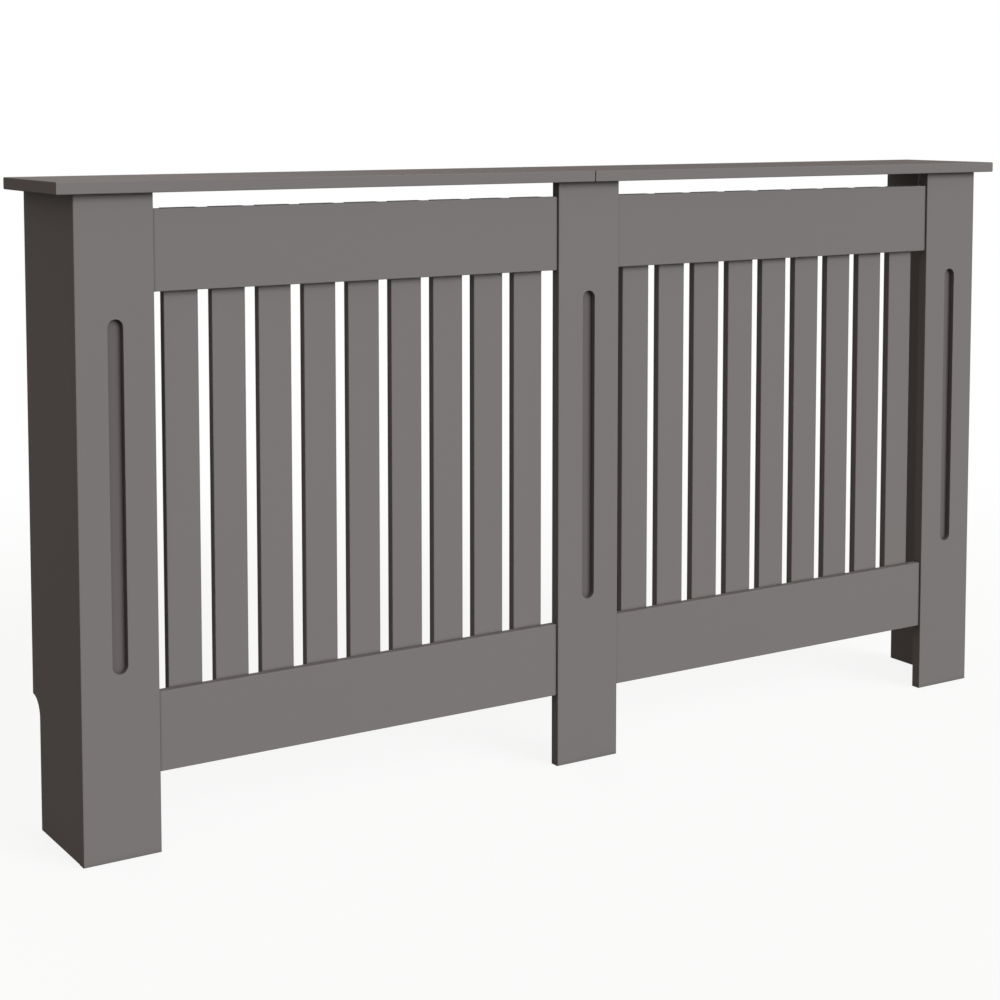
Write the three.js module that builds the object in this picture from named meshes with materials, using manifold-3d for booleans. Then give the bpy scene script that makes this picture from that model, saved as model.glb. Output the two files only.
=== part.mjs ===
// A radiator cover cabinet in painted board. Two slatted panels stand between three fluted posts, a side
// panel runs back from each end post to the wall, and a shelf in two halves lies on top. The back is open,
// so that the cover stands on the floor over a radiator. The boards come flat, and cam fittings draw them
// together.
//
// Millimetres. +Z is up, the front looks towards -Y and the wall is at +Y. The origin is on the floor, below
// the middle of the shelf.

import * as THREE from "three";
import { mergeVertices } from "three/addons/utils/BufferGeometryUtils.js";
import Module from "manifold-3d";

const wasm = await Module();
wasm.setup();

// ---------------------------------------------------------------- Driving dimensions

// Shelf
const SHELF_WIDTH = 1520;
const SHELF_DEPTH = 190;
const SHELF_THICKNESS = 15;
const SHELF_TOP = 825; // height above the floor
const END_OVERHANG = 25; // shelf past each side panel
const FRONT_OVERHANG = 15; // shelf past the posts
const SEAM_GAP = 1.5; // between the shelf's halves

// Posts, each with a round-ended flute routed down its front
const POST_WIDTH = 100;
const POST_THICKNESS = 15;
const FLUTE_WIDTH = 20;
const FLUTE_DEPTH = 8;
const FLUTE_INSET = 30; // flute's ends from the levels of the rails' inner edges

// Rails, set back a little between the posts
const RAIL_HEIGHT = 100;
const RAIL_THICKNESS = 12;
const RAIL_SETBACK = 3; // behind the posts' front
const AIR_GAP = 20; // between the top rails and the shelf
const FLOOR_GAP = 100; // between the bottom rails and the floor

// Slats, glued and pinned to the backs of the rails
const SLATS_PER_PANEL = 9;
const SLAT_WIDTH = 45;
const SLAT_THICKNESS = 12;

// Side panels, cut away at the back to clear a skirting board
const SIDE_THICKNESS = 18;
const SKIRTING_DEPTH = 25; // also the radius of the cut's round corner
const SKIRTING_HEIGHT = 170;

// Cam fittings and dowels that join each rail's end to its post
const CAM_DIAMETER = 15;
const CAM_LENGTH = 9.5; // how deep the cam sits in the post's back
const CAM_REACH = 24; // from the post's edge to the cam's centre
const CAM_RISE = 32; // above the rail's lower edge
const CAM_CROSS_LENGTH = 9; // driver's recess
const CAM_CROSS_WIDTH = 1.6;
const CAM_CROSS_DEPTH = 2;
const BOLT_THREAD_DIAMETER = 6;
const BOLT_THREAD_LENGTH = 11;
const BOLT_SHANK_DIAMETER = 5;
const BOLT_NECK_DIAMETER = 3.5;
const BOLT_NECK_LENGTH = 2.5;
const BOLT_HEAD_DIAMETER = 7;
const BOLT_HEAD_LENGTH = 4;
const DOWEL_DIAMETER = 6;
const DOWEL_LENGTH = 30;
const DOWEL_DROP = 32; // below the rail's upper edge

// Steel angle brackets under the shelf and at the wall, and the flat plate below the shelf's seam
const BRACKET_LEG = 30;
const BRACKET_WIDTH = 16;
const STEEL_THICKNESS = 2;
const BEND_RADIUS = 3; // outside of the bend
const SCREW_HOLE_DIAMETER = 4.5;
const SCREW_HOLE_INSET = 10; // from the end of a leg or plate
const SHELF_BRACKET_SETBACK = 80; // from the wall to the middle of the brackets on the side panels
const SEAM_BRACKET_SPACING = 50; // between the two brackets on the centre post
const WALL_BRACKET_DROP = 70; // below the shelf
const SEAM_PLATE_LENGTH = 100;
const SEAM_PLATE_WIDTH = 40;
const SEAM_PLATE_SETBACK = 45; // from the wall to the middle of the plate
const SEAM_PLATE_CORNER = 5;

// Fits
const HAIRLINE = 0.1; // between two pieces that bear on each other
const BORE_CLEARANCE = 0.15; // round a fitting in its bore
const BORE_END_CLEARANCE = 0.5; // past the end of a fitting in its bore
const EDGE_EASE = 1; // radius sanded on the boards' edges
const DOWEL_CHAMFER = 1;

// How finely round forms are faceted
const EASE_STEPS = 2;
const CORNER_STEPS = 10;
const BORE_STEPS = 12;
const CAM_STEPS = 24;
const FLUTE_STEPS = 20;

// ---------------------------------------------------------------- Levels and places that follow

const QUARTER_TURN = Math.PI / 2;

const COVER_WIDTH = SHELF_WIDTH - 2 * END_OVERHANG;
const OPENING_WIDTH = (COVER_WIDTH - 3 * POST_WIDTH) / 2;
const PANEL_CENTRE = (POST_WIDTH + OPENING_WIDTH) / 2; // from the middle of the cover
const UNDER_SHELF = SHELF_TOP - SHELF_THICKNESS;
const WALL = SHELF_DEPTH / 2;
const POST_BACK = -SHELF_DEPTH / 2 + FRONT_OVERHANG + POST_THICKNESS;
const SIDE_DEPTH = WALL - POST_BACK;

// The front frame is drawn as seen from the front: x to the right, y up, and z towards the viewer from the
// plane of the posts' backs.
const RAIL_BACK = POST_THICKNESS - RAIL_SETBACK - RAIL_THICKNESS;
const RAIL_AXIS = RAIL_BACK + RAIL_THICKNESS / 2;
const BOTTOM_RAIL = FLOOR_GAP;
const TOP_RAIL = UNDER_SHELF - AIR_GAP - RAIL_HEIGHT;
const SLAT_GAP = (OPENING_WIDTH - SLATS_PER_PANEL * SLAT_WIDTH) / (SLATS_PER_PANEL + 1);

const SIDES = [
  { side: "left", sign: -1 },
  { side: "right", sign: 1 },
];
const RAILS = [
  { level: "bottom", low: BOTTOM_RAIL },
  { level: "top", low: TOP_RAIL },
];
const ENDS = [
  { end: "a", sign: -1 }, // the rail's left end, seen from the front
  { end: "b", sign: 1 },
];

// ---------------------------------------------------------------- Finishes

const painted = () => new THREE.MeshStandardMaterial({ color: 0x7b7776, roughness: 0.6, metalness: 0 });
const zincPlated = () => new THREE.MeshStandardMaterial({ color: 0xb4b8bb, roughness: 0.35, metalness: 1 });
const beech = () => new THREE.MeshStandardMaterial({ color: 0xcbaa7c, roughness: 0.8, metalness: 0 });

// ---------------------------------------------------------------- Making and cutting solids

function toSolid(geometry) {
  const bare = geometry.clone();
  bare.deleteAttribute("normal");
  bare.deleteAttribute("uv");
  const welded = mergeVertices(bare);
  return new wasm.Manifold(
    new wasm.Mesh({
      numProp: 3,
      vertProperties: welded.getAttribute("position").array,
      triVerts: new Uint32Array(welded.index.array),
    }),
  );
}

function cut(geometry, cutters) {
  const left = cutters.reduce((solid, cutter) => solid.subtract(toSolid(cutter)), toSolid(geometry));
  const mesh = left.getMesh();
  const result = new THREE.BufferGeometry();
  result.setAttribute("position", new THREE.BufferAttribute(mesh.vertProperties, 3));
  result.setIndex(new THREE.BufferAttribute(mesh.triVerts, 1));
  result.computeVertexNormals();
  return result;
}

function place(parent, name, geometry, material, x, y, z) {
  const mesh = new THREE.Mesh(geometry, material);
  mesh.name = name;
  mesh.position.set(x, y, z);
  parent.add(mesh);
  return mesh;
}

function rectangle(left, low, right, high) {
  return new THREE.Shape([
    new THREE.Vector2(left, low),
    new THREE.Vector2(right, low),
    new THREE.Vector2(right, high),
    new THREE.Vector2(left, high),
  ]);
}

function block(left, low, near, right, high, far) {
  const box = new THREE.BoxGeometry(right - left, high - low, far - near);
  return box.translate((left + right) / 2, (low + high) / 2, (near + far) / 2);
}

// A board with this outline, from z = back to z = front, with its edges eased all round on both faces.
function board(outline, back, front) {
  const geometry = new THREE.ExtrudeGeometry(outline, {
    depth: front - back - 2 * EDGE_EASE,
    bevelThickness: EDGE_EASE,
    bevelSize: EDGE_EASE,
    bevelOffset: -EDGE_EASE,
    bevelSegments: EASE_STEPS,
    curveSegments: CORNER_STEPS,
  });
  return geometry.translate(0, 0, back + EDGE_EASE);
}

// A round cutter along x, from x = from to x = to.
function boreAlongX(diameter, from, to, y, z) {
  const rod = new THREE.CylinderGeometry(diameter / 2, diameter / 2, Math.abs(to - from), BORE_STEPS);
  return rod.rotateZ(QUARTER_TURN).translate((from + to) / 2, y, z);
}

// A round piece turned about x: its profile gives the distance from the axis and the place along x.
function turnedAlongX(profile) {
  const points = profile.map(([radius, along]) => new THREE.Vector2(radius, along));
  return new THREE.LatheGeometry(points, BORE_STEPS).rotateZ(-QUARTER_TURN);
}

// ---------------------------------------------------------------- Posts

// What the router takes out of a post's front for the flute: a slot with a flat floor and round ends.
function fluteCutter() {
  const radius = FLUTE_WIDTH / 2;
  const low = BOTTOM_RAIL + RAIL_HEIGHT + FLUTE_INSET + radius;
  const high = TOP_RAIL - FLUTE_INSET - radius;
  const slot = new THREE.Shape();
  slot.absarc(0, high, radius, 0, Math.PI);
  slot.absarc(0, low, radius, Math.PI, 2 * Math.PI);
  const cutter = new THREE.ExtrudeGeometry(slot, {
    depth: FLUTE_DEPTH + EDGE_EASE,
    bevelEnabled: false,
    curveSegments: FLUTE_STEPS,
  });
  return cutter.translate(0, 0, POST_THICKNESS - FLUTE_DEPTH);
}

// What is bored in a post for the fittings of one rail that meets its edge on this side.
function postBores(sign, low) {
  const edge = (sign * POST_WIDTH) / 2;
  const outside = edge + sign * BORE_END_CLEARANCE;
  const camCentre = edge - sign * CAM_REACH;
  const camY = low + CAM_RISE;
  const dowelY = low + RAIL_HEIGHT - DOWEL_DROP;
  const dowelEnd = edge - sign * (DOWEL_LENGTH / 2 + BORE_END_CLEARANCE);
  const seatRadius = CAM_DIAMETER / 2 + BORE_CLEARANCE;
  const seatBottom = CAM_LENGTH + BORE_END_CLEARANCE;
  const seatDepth = seatBottom + BORE_END_CLEARANCE;
  const seat = new THREE.CylinderGeometry(seatRadius, seatRadius, seatDepth, CAM_STEPS);
  return [
    seat.rotateX(QUARTER_TURN).translate(camCentre, camY, seatBottom - seatDepth / 2),
    boreAlongX(BOLT_HEAD_DIAMETER + 2 * BORE_END_CLEARANCE, camCentre, outside, camY, RAIL_AXIS),
    boreAlongX(DOWEL_DIAMETER + 2 * BORE_CLEARANCE, dowelEnd, outside, dowelY, RAIL_AXIS),
  ];
}

// The back of a post is left square, so that a side panel closes against it without a groove.
function post(railSigns) {
  const halfWidth = POST_WIDTH / 2;
  const outline = rectangle(-halfWidth, 0, halfWidth, UNDER_SHELF - HAIRLINE);
  const waste = block(-POST_WIDTH, -EDGE_EASE, -2 * EDGE_EASE, POST_WIDTH, SHELF_TOP, 0);
  const bores = railSigns.flatMap((sign) => RAILS.flatMap(({ low }) => postBores(sign, low)));
  return cut(board(outline, -EDGE_EASE, POST_THICKNESS), [waste, fluteCutter(), ...bores]);
}

function addPosts(front) {
  const endPost = (COVER_WIDTH - POST_WIDTH) / 2;
  place(front, "post_left", post([1]), painted(), -endPost, 0, 0);
  place(front, "post_centre", post([-1, 1]), painted(), 0, 0, 0);
  place(front, "post_right", post([-1]), painted(), endPost, 0, 0);
}

// ---------------------------------------------------------------- Rails and slats

function rail() {
  const half = OPENING_WIDTH / 2 - HAIRLINE;
  const threadEnd = OPENING_WIDTH / 2 - BOLT_THREAD_LENGTH - BORE_END_CLEARANCE;
  const dowelEnd = OPENING_WIDTH / 2 - DOWEL_LENGTH / 2 - BORE_END_CLEARANCE;
  const outside = OPENING_WIDTH / 2 + BORE_END_CLEARANCE;
  const threadBore = BOLT_THREAD_DIAMETER + 2 * BORE_CLEARANCE;
  const dowelBore = DOWEL_DIAMETER + 2 * BORE_CLEARANCE;
  const bores = ENDS.flatMap(({ sign }) => [
    boreAlongX(threadBore, sign * threadEnd, sign * outside, CAM_RISE, RAIL_AXIS),
    boreAlongX(dowelBore, sign * dowelEnd, sign * outside, RAIL_HEIGHT - DOWEL_DROP, RAIL_AXIS),
  ]);
  return cut(board(rectangle(-half, 0, half, RAIL_HEIGHT), RAIL_BACK, RAIL_BACK + RAIL_THICKNESS), bores);
}

function addRails(front, panel, centre) {
  for (const { level, low } of RAILS) {
    place(front, `${level}_rail_${panel}`, rail(), painted(), centre, low, 0);
  }
}

// The slats run from the bottom rail's lower edge to the top rail's upper edge.
function addSlats(front, panel, centre) {
  const length = TOP_RAIL + RAIL_HEIGHT - BOTTOM_RAIL;
  const slatFront = RAIL_BACK - HAIRLINE;
  for (let i = 0; i < SLATS_PER_PANEL; i++) {
    const slat = board(rectangle(0, 0, SLAT_WIDTH, length), slatFront - SLAT_THICKNESS, slatFront);
    const left = centre - OPENING_WIDTH / 2 + SLAT_GAP + i * (SLAT_WIDTH + SLAT_GAP);
    place(front, `slat_${panel}_${i + 1}`, slat, painted(), left, BOTTOM_RAIL, 0);
  }
}

// ---------------------------------------------------------------- Cam fittings and dowels

// A cam seen with its axis along z, its driver's face at z = 0 and its mouth towards -x.
function cam() {
  const radius = CAM_DIAMETER / 2;
  const drum = new THREE.CylinderGeometry(radius, radius, CAM_LENGTH, CAM_STEPS);
  const mouth = BOLT_HEAD_DIAMETER + 4 * BORE_CLEARANCE;
  const armLength = CAM_CROSS_LENGTH / 2;
  const armWidth = CAM_CROSS_WIDTH / 2;
  return cut(drum.rotateX(QUARTER_TURN).translate(0, 0, CAM_LENGTH / 2), [
    boreAlongX(mouth, -CAM_DIAMETER, mouth / 2, 0, RAIL_AXIS),
    block(-armLength, -armWidth, -CAM_CROSS_DEPTH, armLength, armWidth, CAM_CROSS_DEPTH),
    block(-armWidth, -armLength, -CAM_CROSS_DEPTH, armWidth, armLength, CAM_CROSS_DEPTH),
  ]);
}

// A bolt with its thread towards -x, its collar at x = 0 and its head reaching the cam's centre.
function bolt() {
  const thread = BOLT_THREAD_DIAMETER / 2;
  const shank = BOLT_SHANK_DIAMETER / 2;
  const neck = BOLT_NECK_DIAMETER / 2;
  const head = BOLT_HEAD_DIAMETER / 2;
  const headStart = CAM_REACH - BOLT_HEAD_LENGTH;
  const neckStart = headStart - BOLT_NECK_LENGTH;
  return turnedAlongX([
    [0, -BOLT_THREAD_LENGTH],
    [neck, -BOLT_THREAD_LENGTH],
    [thread, -BOLT_THREAD_LENGTH + thread - neck],
    [thread, -HAIRLINE],
    [shank, -HAIRLINE],
    [shank, neckStart],
    [neck, neckStart],
    [neck, headStart],
    [head, headStart],
    [head, CAM_REACH - BOLT_HEAD_LENGTH / 2],
    [neck, CAM_REACH],
    [0, CAM_REACH],
  ]);
}

function dowel() {
  const radius = DOWEL_DIAMETER / 2;
  const half = DOWEL_LENGTH / 2;
  return turnedAlongX([
    [0, -half],
    [radius - DOWEL_CHAMFER, -half],
    [radius, DOWEL_CHAMFER - half],
    [radius, half - DOWEL_CHAMFER],
    [radius - DOWEL_CHAMFER, half],
    [0, half],
  ]);
}

// One cam, bolt and dowel at each end of each rail. At a rail's left end the fittings are turned half round.
function addFittings(front, panel, centre) {
  for (const { level, low } of RAILS) {
    for (const { end, sign } of ENDS) {
      const where = `${panel}_${level}_${end}`;
      const joint = centre + (sign * OPENING_WIDTH) / 2;
      const turn = sign > 0 ? 0 : Math.PI;
      const camX = joint + sign * CAM_REACH;
      const camY = low + CAM_RISE;
      const dowelY = low + RAIL_HEIGHT - DOWEL_DROP;
      place(front, `cam_${where}`, cam(), zincPlated(), camX, camY, 0).rotation.z = turn;
      place(front, `cam_bolt_${where}`, bolt(), zincPlated(), joint, camY, RAIL_AXIS).rotation.z = turn;
      place(front, `dowel_${where}`, dowel(), beech(), joint, dowelY, RAIL_AXIS);
    }
  }
}

// ---------------------------------------------------------------- Side panels

// Seen side-on: x runs back from the post to the wall, y up. The edge that is glued to the post stays square.
function sidePanel() {
  const top = UNDER_SHELF - HAIRLINE;
  const cornerY = SKIRTING_HEIGHT - SKIRTING_DEPTH;
  const outline = new THREE.Shape();
  outline.moveTo(-EDGE_EASE, 0);
  outline.lineTo(SIDE_DEPTH - SKIRTING_DEPTH, 0);
  outline.lineTo(SIDE_DEPTH - SKIRTING_DEPTH, cornerY);
  outline.absarc(SIDE_DEPTH, cornerY, SKIRTING_DEPTH, Math.PI, QUARTER_TURN, true);
  outline.lineTo(SIDE_DEPTH, top);
  outline.lineTo(-EDGE_EASE, top);
  const past = SIDE_THICKNESS + EDGE_EASE;
  const waste = block(-2 * EDGE_EASE, -EDGE_EASE, -EDGE_EASE, HAIRLINE, SHELF_TOP, past);
  return cut(board(outline, 0, SIDE_THICKNESS), [waste]);
}

function addSidePanels(cabinet) {
  for (const { side, sign } of SIDES) {
    const leftFace = sign < 0 ? -COVER_WIDTH / 2 : COVER_WIDTH / 2 - SIDE_THICKNESS;
    const panel = place(cabinet, `side_panel_${side}`, sidePanel(), painted(), leftFace, POST_BACK, 0);
    panel.rotation.set(QUARTER_TURN, QUARTER_TURN, 0);
  }
}

// ---------------------------------------------------------------- Shelf

function addShelf(cabinet) {
  const inner = SEAM_GAP / 2;
  const outer = SHELF_WIDTH / 2;
  const left = board(rectangle(-outer, -WALL, -inner, WALL), UNDER_SHELF, SHELF_TOP);
  const right = board(rectangle(inner, -WALL, outer, WALL), UNDER_SHELF, SHELF_TOP);
  place(cabinet, "shelf_left", left, painted(), 0, 0, 0);
  place(cabinet, "shelf_right", right, painted(), 0, 0, 0);
}

// ---------------------------------------------------------------- Steel brackets and plate

// An angle bracket with its outer corner at the origin, its legs along +x and +y, and its width about z = 0.
function bracket() {
  const inner = BEND_RADIUS - STEEL_THICKNESS;
  const profile = new THREE.Shape();
  profile.moveTo(BEND_RADIUS, 0);
  profile.lineTo(BRACKET_LEG, 0);
  profile.lineTo(BRACKET_LEG, STEEL_THICKNESS);
  profile.lineTo(BEND_RADIUS, STEEL_THICKNESS);
  profile.absarc(BEND_RADIUS, BEND_RADIUS, inner, -QUARTER_TURN, -Math.PI, true);
  profile.lineTo(STEEL_THICKNESS, BRACKET_LEG);
  profile.lineTo(0, BRACKET_LEG);
  profile.lineTo(0, BEND_RADIUS);
  profile.absarc(BEND_RADIUS, BEND_RADIUS, BEND_RADIUS, Math.PI, 3 * QUARTER_TURN, false);
  const strip = new THREE.ExtrudeGeometry(profile, {
    depth: BRACKET_WIDTH,
    bevelEnabled: false,
    curveSegments: CORNER_STEPS / 2,
  });
  const holeAt = BRACKET_LEG - SCREW_HOLE_INSET;
  const holeRadius = SCREW_HOLE_DIAMETER / 2;
  const hole = new THREE.CylinderGeometry(holeRadius, holeRadius, 4 * STEEL_THICKNESS, BORE_STEPS);
  return cut(strip.translate(0, 0, -BRACKET_WIDTH / 2), [
    hole.clone().translate(holeAt, 0, 0),
    hole.rotateZ(QUARTER_TURN).translate(0, holeAt, 0),
  ]);
}

function placeBracket(cabinet, name, corner, firstLeg, secondLeg) {
  const mesh = place(cabinet, name, bracket(), zincPlated(), ...corner);
  const first = new THREE.Vector3(...firstLeg);
  const second = new THREE.Vector3(...secondLeg);
  const basis = new THREE.Matrix4().makeBasis(first, second, first.clone().cross(second));
  mesh.quaternion.setFromRotationMatrix(basis);
}

function addBrackets(cabinet) {
  const below = UNDER_SHELF - HAIRLINE;
  for (const { side, sign } of SIDES) {
    const innerFace = sign * (COVER_WIDTH / 2 - SIDE_THICKNESS - HAIRLINE);
    const inwards = [-sign, 0, 0];
    const down = [0, 0, -1];
    const sideCorner = [innerFace, WALL - SHELF_BRACKET_SETBACK, below];
    placeBracket(cabinet, `shelf_bracket_${side}`, sideCorner, inwards, down);
    const wallCorner = [innerFace, WALL, UNDER_SHELF - WALL_BRACKET_DROP];
    placeBracket(cabinet, `wall_bracket_${side}`, wallCorner, [0, -1, 0], inwards);
    const seamCorner = [(sign * SEAM_BRACKET_SPACING) / 2, POST_BACK + HAIRLINE, below];
    placeBracket(cabinet, `seam_bracket_${side}`, seamCorner, [0, 1, 0], down);
  }
}

// The flat plate is screwed to both halves of the shelf and keeps them level at the seam.
function seamPlate() {
  const right = SEAM_PLATE_LENGTH / 2;
  const far = SEAM_PLATE_WIDTH / 2;
  const x = right - SEAM_PLATE_CORNER;
  const y = far - SEAM_PLATE_CORNER;
  const outline = new THREE.Shape();
  outline.moveTo(-x, -far);
  outline.absarc(x, -y, SEAM_PLATE_CORNER, -QUARTER_TURN, 0, false);
  outline.absarc(x, y, SEAM_PLATE_CORNER, 0, QUARTER_TURN, false);
  outline.absarc(-x, y, SEAM_PLATE_CORNER, QUARTER_TURN, Math.PI, false);
  outline.absarc(-x, -y, SEAM_PLATE_CORNER, Math.PI, 3 * QUARTER_TURN, false);
  const holeX = right - SCREW_HOLE_INSET;
  const holeY = far - SCREW_HOLE_INSET;
  for (const [signX, signY] of [[-1, -1], [1, -1], [1, 1], [-1, 1]]) {
    const hole = new THREE.Path();
    hole.absarc(signX * holeX, signY * holeY, SCREW_HOLE_DIAMETER / 2, 0, 4 * QUARTER_TURN, true);
    outline.holes.push(hole);
  }
  return new THREE.ExtrudeGeometry(outline, {
    depth: STEEL_THICKNESS,
    bevelEnabled: false,
    curveSegments: CORNER_STEPS / 2,
  });
}

function addSeamPlate(cabinet) {
  const low = UNDER_SHELF - HAIRLINE - STEEL_THICKNESS;
  place(cabinet, "seam_plate", seamPlate(), zincPlated(), 0, WALL - SEAM_PLATE_SETBACK, low);
}

// ---------------------------------------------------------------- The cabinet

const cabinet = new THREE.Group();
const front = new THREE.Group();
front.position.y = POST_BACK;
front.rotation.x = QUARTER_TURN;
cabinet.add(front);

addPosts(front);
for (const { side, sign } of SIDES) {
  addRails(front, side, sign * PANEL_CENTRE);
  addSlats(front, side, sign * PANEL_CENTRE);
  addFittings(front, side, sign * PANEL_CENTRE);
}
addSidePanels(cabinet);
addShelf(cabinet);
addBrackets(cabinet);
addSeamPlate(cabinet);

export default cabinet;
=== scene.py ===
import math

import bmesh
import bpy
from mathutils import Matrix, Vector


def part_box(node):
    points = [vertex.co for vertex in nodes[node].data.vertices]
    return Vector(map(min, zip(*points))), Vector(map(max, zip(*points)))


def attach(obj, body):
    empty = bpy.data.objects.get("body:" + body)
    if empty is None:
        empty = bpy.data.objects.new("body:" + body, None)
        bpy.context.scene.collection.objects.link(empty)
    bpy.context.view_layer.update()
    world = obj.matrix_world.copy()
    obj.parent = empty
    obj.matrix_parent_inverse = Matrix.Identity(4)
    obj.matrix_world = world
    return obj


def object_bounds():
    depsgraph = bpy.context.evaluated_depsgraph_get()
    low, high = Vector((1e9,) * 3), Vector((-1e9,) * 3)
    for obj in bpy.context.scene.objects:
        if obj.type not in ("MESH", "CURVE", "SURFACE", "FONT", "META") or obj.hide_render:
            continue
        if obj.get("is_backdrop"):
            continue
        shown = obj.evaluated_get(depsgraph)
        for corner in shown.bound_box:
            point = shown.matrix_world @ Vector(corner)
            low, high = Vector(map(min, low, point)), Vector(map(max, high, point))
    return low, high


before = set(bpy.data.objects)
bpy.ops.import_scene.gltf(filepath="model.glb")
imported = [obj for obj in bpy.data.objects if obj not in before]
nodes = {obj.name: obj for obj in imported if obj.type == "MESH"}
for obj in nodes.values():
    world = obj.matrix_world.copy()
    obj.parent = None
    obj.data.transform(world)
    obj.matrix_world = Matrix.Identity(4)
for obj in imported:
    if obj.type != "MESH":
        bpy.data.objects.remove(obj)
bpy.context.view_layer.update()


# ------------------------------------------------------------------------------------------------
# Posts. Three upright fibreboards, each with a round-ended flute routed down its front. Like all
# the boards they are sprayed with a satin warm grey lacquer before the cover is put together.

mm = 0.001


class Wire:
    """An output of a node. Sums, differences and products of wires and numbers add Math nodes."""

    def __init__(self, drawing, socket):
        self.drawing = drawing
        self.socket = socket

    def math(self, operation, other, swap=False):
        first, second = (other, self) if swap else (self, other)
        return self.drawing.node("ShaderNodeMath", {"operation": operation}, {0: first, 1: second})

    def __add__(self, other):
        return self.math("ADD", other)

    def __sub__(self, other):
        return self.math("SUBTRACT", other)

    def __rsub__(self, other):
        return self.math("SUBTRACT", other, swap=True)

    def __mul__(self, other):
        return self.math("MULTIPLY", other)

    __radd__ = __add__
    __rmul__ = __mul__


class Drawing:
    """The node tree of a material or of the world, drawn one node at a time."""

    def __init__(self, owner, output="ShaderNodeOutputMaterial"):
        owner.use_nodes = True
        self.owner = owner
        self.tree = owner.node_tree
        self.tree.nodes.clear()
        self.output = self.tree.nodes.new(output)

    def node(self, kind, settings=None, sockets=None, out=0):
        made = self.tree.nodes.new(kind)
        for key, value in (settings or {}).items():
            setattr(made, key, value)
        for key, value in (sockets or {}).items():
            if isinstance(value, Wire):
                self.tree.links.new(value.socket, made.inputs[key])
            else:
                made.inputs[key].default_value = value
        return Wire(self, made.outputs[out])

    def place(self):
        return self.node("ShaderNodeTexCoord", out="Object")

    def along_y(self, vector):
        return self.node("ShaderNodeSeparateXYZ", {}, {0: vector}, "Y")

    def noise(self, scale, detail, at=None, shift=0.0):
        sockets = {"Vector": at or self.place(), "W": shift, "Scale": scale, "Detail": detail}
        return self.node("ShaderNodeTexNoise", {"noise_dimensions": "4D"}, sockets, "Fac")

    def tint(self, share, dark, light):
        sockets = {0: share, 6: (*dark, 1), 7: (*light, 1)}
        return self.node("ShaderNodeMix", {"data_type": "RGBA"}, sockets, 2)

    def shade(self, share, colour, by):
        settings = {"data_type": "RGBA", "blend_type": "MULTIPLY"}
        return self.node("ShaderNodeMix", settings, {0: share, 6: colour, 7: (*by, 1)}, 2)

    def bump(self, height, strength, distance):
        sockets = {"Height": height, "Strength": strength, "Distance": distance}
        return self.node("ShaderNodeBump", {}, sockets)

    def surface(self, shader):
        self.tree.links.new(shader.socket, self.output.inputs["Surface"])
        return self.owner

    def finish(self, **sockets):
        named = {key.replace("_", " "): value for key, value in sockets.items()}
        return self.surface(self.node("ShaderNodeBsdfPrincipled", {}, named))


def scaled(colour, factor):
    return [channel * factor for channel in colour]


def lacquer(name, painted_shade_depth, painted_shade_reach=4 * mm, flute_floor=None):
    """The lacquer, with painted shade in joints and on what faces the front past flute_floor, if
    given.
    """
    grey = (0.195, 0.181, 0.178)
    painted_crevice_shade = (0.20, 0.18, 0.17)  # painted shade: what is left of the grey deep in a joint or corner that ambient occlusion finds
    painted_flute_shade = (0.74, 0.715, 0.71)  # painted shade: what is left of the grey on the routed flute's floor, for the shade that falls there
    drift = 0.035  # how far the grey strays to either side
    film_share = 0.6
    mist_share = 0.25
    board_share = 0.15
    boards_apart = 8  # so that no board goes on with the patches of the one beside it
    least_roughness = 0.5
    roughness_drift = 0.12
    mist_height = 0.4  # against the orange peel's
    squarely_forward = -0.9  # of a normal along y, which leaves out the flute's walls

    paint = Drawing(bpy.data.materials.new(name))
    board = paint.node("ShaderNodeObjectInfo", out="Random")
    shift = board * boards_apart
    film = paint.noise(scale=2.2, detail=3.0, shift=shift)  # the film's thickness along a board
    mist = paint.noise(scale=420.0, detail=2.0)  # the grain of the spray
    peel = paint.noise(scale=260.0, detail=1.5)  # orange peel
    sheen = paint.noise(scale=9.0, detail=2.0, shift=shift)  # patches of more and less gloss
    tone = film * film_share + mist * mist_share + board * board_share
    colour = paint.tint(tone, scaled(grey, 1 - drift), scaled(grey, 1 + drift))
    # Painted shade: the floor of the flute is darkened to stand in for the shade that falls in it.
    if flute_floor is not None:
        deep = paint.along_y(paint.place()).math("GREATER_THAN", flute_floor)
        normal = paint.node("ShaderNodeNewGeometry", out="Normal")
        facing_front = paint.along_y(normal).math("LESS_THAN", squarely_forward)
        colour = paint.shade(deep * facing_front, colour, painted_flute_shade)
    # Painted shade: ambient occlusion darkens the grey in joints, corners and under overhangs.
    reach = {"Distance": painted_shade_reach}
    open_sky = paint.node("ShaderNodeAmbientOcclusion", {"samples": 6}, reach, "AO")
    return paint.finish(
        Base_Color=paint.shade((1 - open_sky) * painted_shade_depth, colour, painted_crevice_shade),
        Roughness=least_roughness + sheen * roughness_drift,
        Specular_IOR_Level=0.0,
        Coat_Weight=0.045,
        Coat_Roughness=0.3,
        Coat_IOR=1.5,
        Normal=paint.bump(peel + mist * mist_height, strength=0.10, distance=0.2 * mm),
    )


def coat(names, material):
    for name in names:
        slots = nodes[name].data.materials
        slots.clear()
        slots.append(material)


grey_lacquer = lacquer("satin_grey_lacquer", painted_shade_depth=0.5)
post_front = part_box("post_centre")[0].y
halfway_down_flute = 4 * mm
# The posts' lacquer paints shade farther into the flutes, and darkens the flutes' floors.
fluted_lacquer = lacquer(
    "satin_grey_lacquer_fluted_painted_shade",
    painted_shade_depth=0.35,
    painted_shade_reach=9 * mm,
    flute_floor=post_front + halfway_down_flute,
)
coat(["post_left", "post_centre", "post_right"], fluted_lacquer)


# ------------------------------------------------------------------------------------------------
# Rails. Four thinner boards that close between the posts, a little behind the posts' front and
# flush with their backs. The joints at their ends show as fine dark lines, deepened by painted shade.

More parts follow.
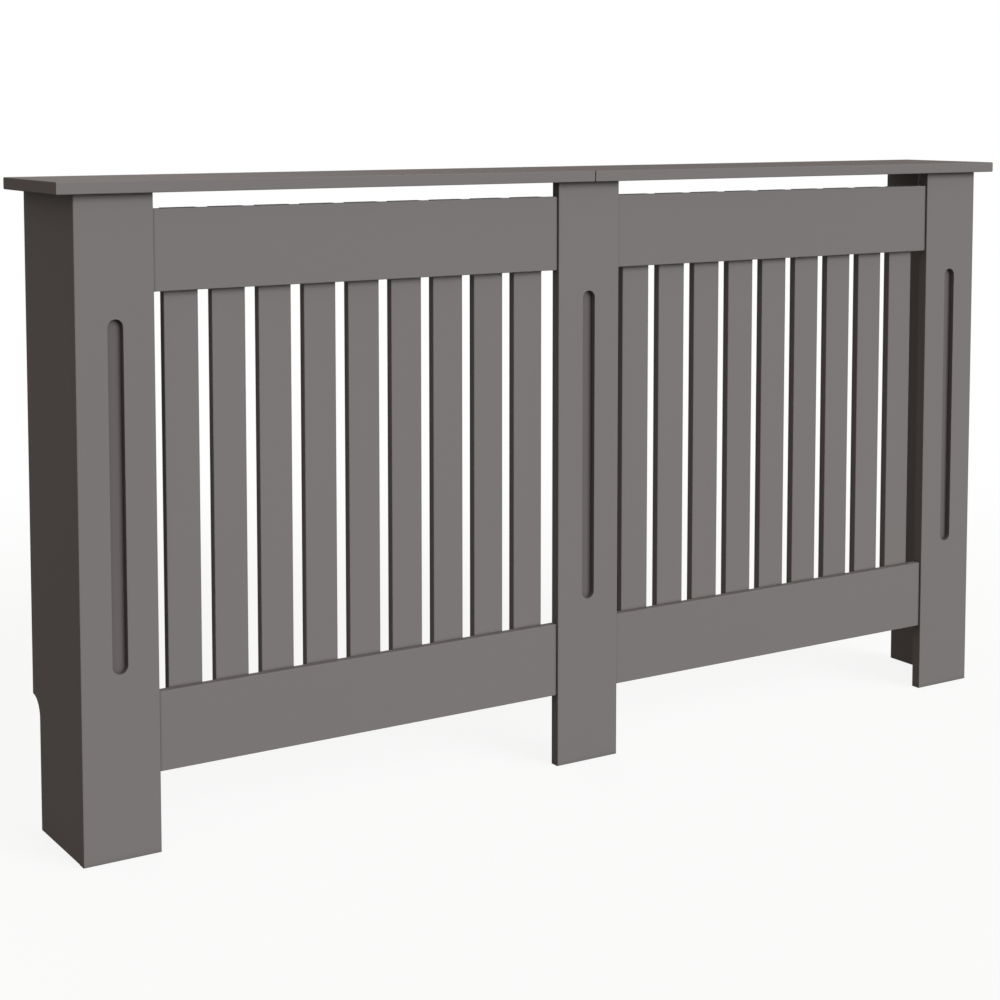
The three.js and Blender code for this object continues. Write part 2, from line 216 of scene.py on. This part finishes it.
sides = ("left", "right")
levels = ("bottom", "top")
# Stronger painted shade from ambient occlusion, for the dark lines at the rails' ends and the shelf's
# seam.
joint_shaded_lacquer = lacquer("satin_grey_lacquer_painted_joint_shade", painted_shade_depth=1.4)
coat([f"{level}_rail_{side}" for level in levels for side in sides], joint_shaded_lacquer)


# ------------------------------------------------------------------------------------------------
# Slats. Nine strips to a panel, glued to the rails' backs. Two steel pins hold each slat to each
# rail while the glue sets. Their heads stand a hair proud and are painted over with the slats.

slats_per_panel = 9
slat_numbers = range(1, slats_per_panel + 1)


def turned(metal, profile, steps, where):
    """Adds a solid turned about z. Its profile of (radius, height) starts and ends on the axis."""
    rings = []
    for radius, height in profile:
        ring = []
        for step in range(steps if radius else 1):
            angle = 2 * math.pi * step / steps
            point = Vector((radius * math.cos(angle), radius * math.sin(angle), height))
            ring.append(metal.verts.new(where @ point))
        rings.append(ring if radius else ring * steps)
    for below, above in zip(rings, rings[1:]):
        for step in range(steps):
            after = (step + 1) % steps
            corners = dict.fromkeys((below[step], below[after], above[after], above[step]))
            metal.faces.new(list(corners))  # three corners where a ring is the axis


def to_mesh(name, metal):
    sharp = math.radians(35)
    bmesh.ops.recalc_face_normals(metal, faces=metal.faces)
    mesh = bpy.data.meshes.new(name)
    metal.to_mesh(mesh)
    metal.free()
    mesh.shade_smooth()
    mesh.set_sharp_from_angle(angle=sharp)
    return mesh


def fit(name, mesh, material, where=Matrix.Identity(4)):
    piece = bpy.data.objects.new(name, mesh)
    piece.matrix_world = where
    bpy.context.scene.collection.objects.link(piece)
    if not mesh.materials:
        mesh.materials.append(material)
    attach(piece, "root")


def pin_slats(side, level):
    """Two pins through each slat of a panel into one of its rails."""
    head = 1.1 * mm
    shank = 0.7 * mm
    length = 18 * mm
    proud = 0.35 * mm
    shoulder = (head * 0.8, proud * 0.8)
    steps = 12
    places = ((0.25, 0.3), (0.75, 0.7))  # shares of the slat's width and of the rail's height
    profile = [(0, -length), (shank, -length + shank), (shank, 0), (head, 0), shoulder, (0, proud)]
    backwards = Matrix.Rotation(math.radians(-90), 4, "X")
    rail_low, rail_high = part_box(f"{level}_rail_{side}")
    steel = bmesh.new()
    for number in slat_numbers:
        low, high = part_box(f"slat_{side}_{number}")
        for across, up in places:
            x = low.x + (high.x - low.x) * across
            z = rail_low.z + (rail_high.z - rail_low.z) * up
            turned(steel, profile, steps, Matrix.Translation((x, high.y, z)) @ backwards)
    name = f"slat_pins_{side}_{level}"
    fit(name, to_mesh(name, steel), grey_lacquer)


coat([f"slat_{side}_{number}" for side in sides for number in slat_numbers], grey_lacquer)
for side in sides:
    for level in levels:
        pin_slats(side, level)


# ------------------------------------------------------------------------------------------------
# Cams, cam bolts and dowels. Bright zinc-plated fittings that draw the rails up to the posts, and
# bare beech dowels beside them. Only the cams' driver faces show, in the posts' backs.

def zinc(name, metal, roughness):
    """Plating with small crystals under slow smears. The smears dull it and change its tone."""
    darkest = scaled(metal, 0.82)
    lightest = scaled(metal, 1.06)
    smear_share = 0.7
    smear_dulls = 0.2
    plating = Drawing(bpy.data.materials.new(name))
    cells = {"Vector": plating.place(), "Scale": 900.0}
    crystal = plating.node("ShaderNodeTexVoronoi", {}, cells, "Distance")
    smear = plating.noise(scale=60.0, detail=3.0)
    tone = smear * smear_share + crystal * (1 - smear_share)
    return plating.finish(
        Base_Color=plating.tint(tone, darkest, lightest),
        Metallic=1.0,
        Roughness=roughness + smear * smear_dulls,
        Normal=plating.bump(crystal, strength=0.08, distance=0.1 * mm),
    )


def beech():
    dark = (0.45, 0.27, 0.13)
    light = (0.66, 0.46, 0.27)
    along_x = (18.0, 420.0, 420.0)  # the grain runs as the dowels lie
    wood = Drawing(bpy.data.materials.new("bare_beech"))
    stretched = wood.node("ShaderNodeMapping", {}, {"Vector": wood.place(), "Scale": along_x})
    grain = wood.noise(scale=1.0, detail=4.0, at=stretched)
    return wood.finish(
        Base_Color=wood.tint(grain, dark, light),
        Roughness=0.75,
        Normal=wood.bump(grain, strength=0.2, distance=0.2 * mm),
    )


bright_zinc = zinc("bright_zinc_plating", (0.56, 0.57, 0.585), roughness=0.26)
joints = [f"{side}_{level}_{end}" for side in sides for level in levels for end in "ab"]
coat([f"cam_{joint}" for joint in joints], bright_zinc)
coat([f"cam_bolt_{joint}" for joint in joints], bright_zinc)
coat([f"dowel_{joint}" for joint in joints], beech())


# ------------------------------------------------------------------------------------------------
# Side panels. Thicker boards glued square to the backs of the end posts, cut away low down at the
# back to clear a skirting board.

coat(["side_panel_left", "side_panel_right"], grey_lacquer)


# ------------------------------------------------------------------------------------------------
# Shelf. Two halves of lacquered board that lie on the posts and side panels and meet above the
# centre post. The narrow gap between their ends shows as a fine dark line, deepened by painted shade.

# The lacquer paints shade into the seam between the halves.
coat(["shelf_left", "shelf_right"], joint_shaded_lacquer)


# ------------------------------------------------------------------------------------------------
# Brackets and seam plate. Pressed steel angles hold the shelf to the side panels and to the centre
# post, and the cover to the wall, and a flat plate lies below the shelf's seam. They and their short
# pan-head screws are zinc-plated and passivated black. The wall takes two more screws of its own.

def soften(names, radius):
    """Rounds the edges. The carried-over faces share no corners until they are welded."""
    for name in names:
        weld = nodes[name].modifiers.new("weld", "WELD")
        weld.merge_threshold = 0.01 * mm
        edge = nodes[name].modifiers.new("broken_edges", "BEVEL")
        edge.width = radius
        edge.segments = 2
        edge.limit_method = "ANGLE"
        edge.angle_limit = math.radians(40)


screw_crown = 2.6 * mm


def screw_blank():
    """A screw along z that bears at z = 0, with its domed head above."""
    head = 4.0 * mm
    rim = 0.5 * mm
    core = 1.4 * mm
    thread = 2.0 * mm
    pitch = 1.4 * mm
    turns = 6
    length = 12 * mm
    tip = 2 * core
    dome_steps = 4
    dome_flat = 0.45  # share of the head's radius that stays flat on top
    steps = 28
    shank = [(0, -length), (core, -length + tip)]
    for turn in range(turns):
        foot = -length + tip + turn * pitch
        for radius, rise in ((core, 0.3), (thread, 0.5), (core, 0.7)):
            shank.append((radius, foot + pitch * rise))
    dome = []
    for step in range(dome_steps + 1):
        angle = math.radians(90) * step / dome_steps
        radius = head * (dome_flat + (1 - dome_flat) * math.cos(angle))
        dome.append((radius, rim + (screw_crown - rim) * math.sin(angle)))
    steel = bmesh.new()
    profile = [*shank, (core, 0), (head, 0), *dome, (0, screw_crown)]
    turned(steel, profile, steps, Matrix.Identity(4))
    return bpy.data.objects.new("screw_blank", to_mesh("screw_blank", steel))


def cross_punch():
    """Two crossed bars at the crown of the head."""
    length = 4.6 * mm
    width = 1.1 * mm
    depth = 1.6 * mm
    crown = Matrix.Translation((0, 0, screw_crown))
    steel = bmesh.new()
    for across, along in ((width, length), (length, width)):
        bar = Matrix.Diagonal((across, along, 2 * depth, 1))
        bmesh.ops.create_cube(steel, size=1.0, matrix=crown @ bar)
    return bpy.data.objects.new("cross_punch", to_mesh("cross_punch", steel))


def punched(blank, punch):
    """The mesh of the screw with its recess. Both tools are thrown away."""
    for tool in (blank, punch):
        bpy.context.scene.collection.objects.link(tool)
    recess = blank.modifiers.new("recess", "BOOLEAN")
    recess.operation = "DIFFERENCE"
    recess.solver = "EXACT"
    recess.object = punch
    recess.use_self = True  # the bars of the punch cross
    shaped = blank.evaluated_get(bpy.context.evaluated_depsgraph_get())
    mesh = bpy.data.meshes.new_from_object(shaped)
    mesh.name = "pan_head_screw"
    for tool in (blank, punch):
        bpy.data.meshes.remove(tool.data)  # which takes the tool with it
    return mesh


angles = [f"{kind}_bracket_{side}" for kind in ("shelf", "seam", "wall") for side in sides]
black_zinc = zinc("black_zinc_plating", (0.035, 0.035, 0.038), roughness=0.36)
coat([*angles, "seam_plate"], black_zinc)
soften([*angles, "seam_plate"], radius=0.3 * mm)
screw_mesh = punched(screw_blank(), cross_punch())


def drive(name, seat, out):
    """Puts a screw in, bearing at seat, with its head facing out."""
    turn = out.to_track_quat("Z", "Y").to_matrix().to_4x4()
    fit(name, screw_mesh, black_zinc, Matrix.Translation(seat) @ turn)


steel_thickness = 2 * mm
hole_from_bend = 20 * mm
down = Vector((0, 0, -1))
back = Vector((0, 1, 0))
for side, inwards in zip(sides, (1, -1)):
    inner = Vector((inwards, 0, 0))

    low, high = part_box(f"shelf_bracket_{side}")
    bend = Vector((low.x if inwards > 0 else high.x, (low.y + high.y) / 2, high.z))
    seat = bend + inner * hole_from_bend + down * steel_thickness
    drive(f"screw_shelf_bracket_{side}_up", seat, down)
    seat = bend + down * hole_from_bend + inner * steel_thickness
    drive(f"screw_shelf_bracket_{side}_side", seat, inner)

    low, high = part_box(f"seam_bracket_{side}")
    bend = Vector(((low.x + high.x) / 2, low.y, high.z))
    seat = bend + back * hole_from_bend + down * steel_thickness
    drive(f"screw_seam_bracket_{side}_up", seat, down)
    seat = bend + down * hole_from_bend + back * steel_thickness
    drive(f"screw_seam_bracket_{side}_post", seat, back)

    low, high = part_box(f"wall_bracket_{side}")
    bend = Vector((low.x if inwards > 0 else high.x, high.y, (low.z + high.z) / 2))
    seat = bend - back * hole_from_bend + inner * steel_thickness
    drive(f"screw_wall_bracket_{side}", seat, inner)

low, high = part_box("seam_plate")
hole_inset = 10 * mm
for number, (end, edge) in enumerate(((-1, -1), (1, -1), (1, 1), (-1, 1)), start=1):
    x = end * (high.x - hole_inset)
    y = (low.y + high.y) / 2 + edge * ((high.y - low.y) / 2 - hole_inset)
    drive(f"screw_seam_plate_{number}", Vector((x, y, low.z)), down)


# ------------------------------------------------------------------------------------------------
# The studio. A pale floor that fades into a white backdrop, two broad lights from the front right, a
# weak one from behind, a small one over the shelf's left end, and the even, slightly warm light of
# the room.

white = (1, 1, 1)


def ray_that_sees(drawing):
    """1 for a ray from the camera, off metal or through glass, and 0 for one that lights a surface."""
    camera, glossy, clear = (
        drawing.node("ShaderNodeLightPath", out=f"Is {kind} Ray")
        for kind in ("Camera", "Glossy", "Transmission")
    )
    return 1 - (1 - camera) * (1 - glossy) * (1 - clear)


def mixed(drawing, share, first, second):
    return drawing.node("ShaderNodeMixShader", {}, {0: share, 1: first, 2: second})


def floor():
    """It throws little light back on the cover, and it glows almost white, more so further away."""
    half = 12.0
    below = 0.5 * mm
    fade_start = 0.9
    fade_end = 2.6
    glow_near = 0.87
    thrown_back = (0.12, 0.12, 0.12)
    corners = [(-half, -half, 0), (half, -half, 0), (half, half, 0), (-half, half, 0)]
    mesh = bpy.data.meshes.new("studio_floor")
    mesh.from_pydata(corners, [], [(0, 1, 2, 3)])
    made = bpy.data.objects.new("studio_floor", mesh)
    made.location.z = -below
    bpy.context.scene.collection.objects.link(made)

    pale = Drawing(bpy.data.materials.new("pale_floor"))
    away = pale.node("ShaderNodeVectorMath", {"operation": "LENGTH"}, {0: pale.place()}, "Value")
    span = {"From Min": fade_start, "From Max": fade_end, "To Min": glow_near, "To Max": 1.0}
    smooth = {"interpolation_type": "SMOOTHSTEP"}
    share = pale.node("ShaderNodeMapRange", smooth, {"Value": away, **span})
    dim = pale.node("ShaderNodeBsdfDiffuse", {}, {"Color": (*thrown_back, 1)})
    bright = pale.node("ShaderNodeBsdfDiffuse", {}, {"Color": (*white, 1)})
    glow = pale.node("ShaderNodeEmission", {}, {"Color": (*white, 1), "Strength": 1.0})
    seen = mixed(pale, share, bright, glow)
    mesh.materials.append(pale.surface(mixed(pale, ray_that_sees(pale), dim, seen)))
    made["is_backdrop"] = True


def room():
    """The even light of the room. What sees it directly sees a white backdrop."""
    warm = (0.43, 0.386, 0.35)
    air = Drawing(bpy.data.worlds.new("room"), "ShaderNodeOutputWorld")
    light = air.node("ShaderNodeBackground", {}, {"Color": (*warm, 1), "Strength": 1.0})
    backdrop = air.node("ShaderNodeBackground", {}, {"Color": (*white, 1), "Strength": 1.0})
    bpy.context.scene.world = air.surface(mixed(air, ray_that_sees(air), light, backdrop))


def lamp(name, kind, place, towards, energy, colour, **settings):
    data = bpy.data.lights.new(name, kind)
    data.energy = energy
    data.color = colour
    for key, value in settings.items():
        setattr(data, key, value)
    made = bpy.data.objects.new(name, data)
    made.location = place
    made.rotation_euler = (Vector(towards) - Vector(place)).to_track_quat("-Z", "Y").to_euler()
    made.visible_camera = False
    made.visible_glossy = False
    bpy.context.scene.collection.objects.link(made)


def sun(name, azimuth, elevation, level, colour, spread):
    """Even light, from the front at azimuth 0. Level 1 shows a colour as it is written."""
    away = 4.0  # a sun shines alike from any distance
    turn = math.radians(azimuth)
    rise = math.radians(elevation)
    flat = math.cos(rise)
    place = away * Vector((math.sin(turn) * flat, -math.cos(turn) * flat, math.sin(rise)))
    lamp(name, "SUN", place, (0, 0, 0), level * math.pi, colour, angle=math.radians(spread))


def camera():
    """At the photograph's angle. It looks down a little, so that it needs less shift."""
    looks_down = math.radians(4.478)
    turned_right = math.radians(32.307)
    data = bpy.data.cameras.new("eye")
    data.sensor_width = 36.0
    data.lens = 70.4
    data.shift_x = 0.0
    data.shift_y = -0.24
    eye = bpy.data.objects.new("eye", data)
    eye.location = (-1.5327, -2.27523, 0.91153)
    eye.rotation_euler = (math.radians(90) - looks_down, 0, -turned_right)
    bpy.context.scene.collection.objects.link(eye)
    bpy.context.scene.camera = eye


floor()
room()
sun("key", azimuth=20, elevation=19, level=0.82, colour=(0.96, 1.0, 1.03), spread=40)
sun("fill", azimuth=165, elevation=5, level=0.42, colour=(1.0, 0.98, 0.96), spread=40)
lamp(
    "side", "AREA", place=(2.4, -2.2, 1.7), towards=(0.5, 0, 0.4), energy=6.5, colour=white,
    shape="SQUARE", size=1.2,
)
lamp(
    "over_shelf", "AREA", place=(-0.7, 0.01, 1.35), towards=(-0.7, 0.01, 0), energy=0.75, colour=white,
    shape="RECTANGLE", size=0.1, size_y=0.14,
)
camera()
bpy.context.scene.view_settings.view_transform = "Standard"

low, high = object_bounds()
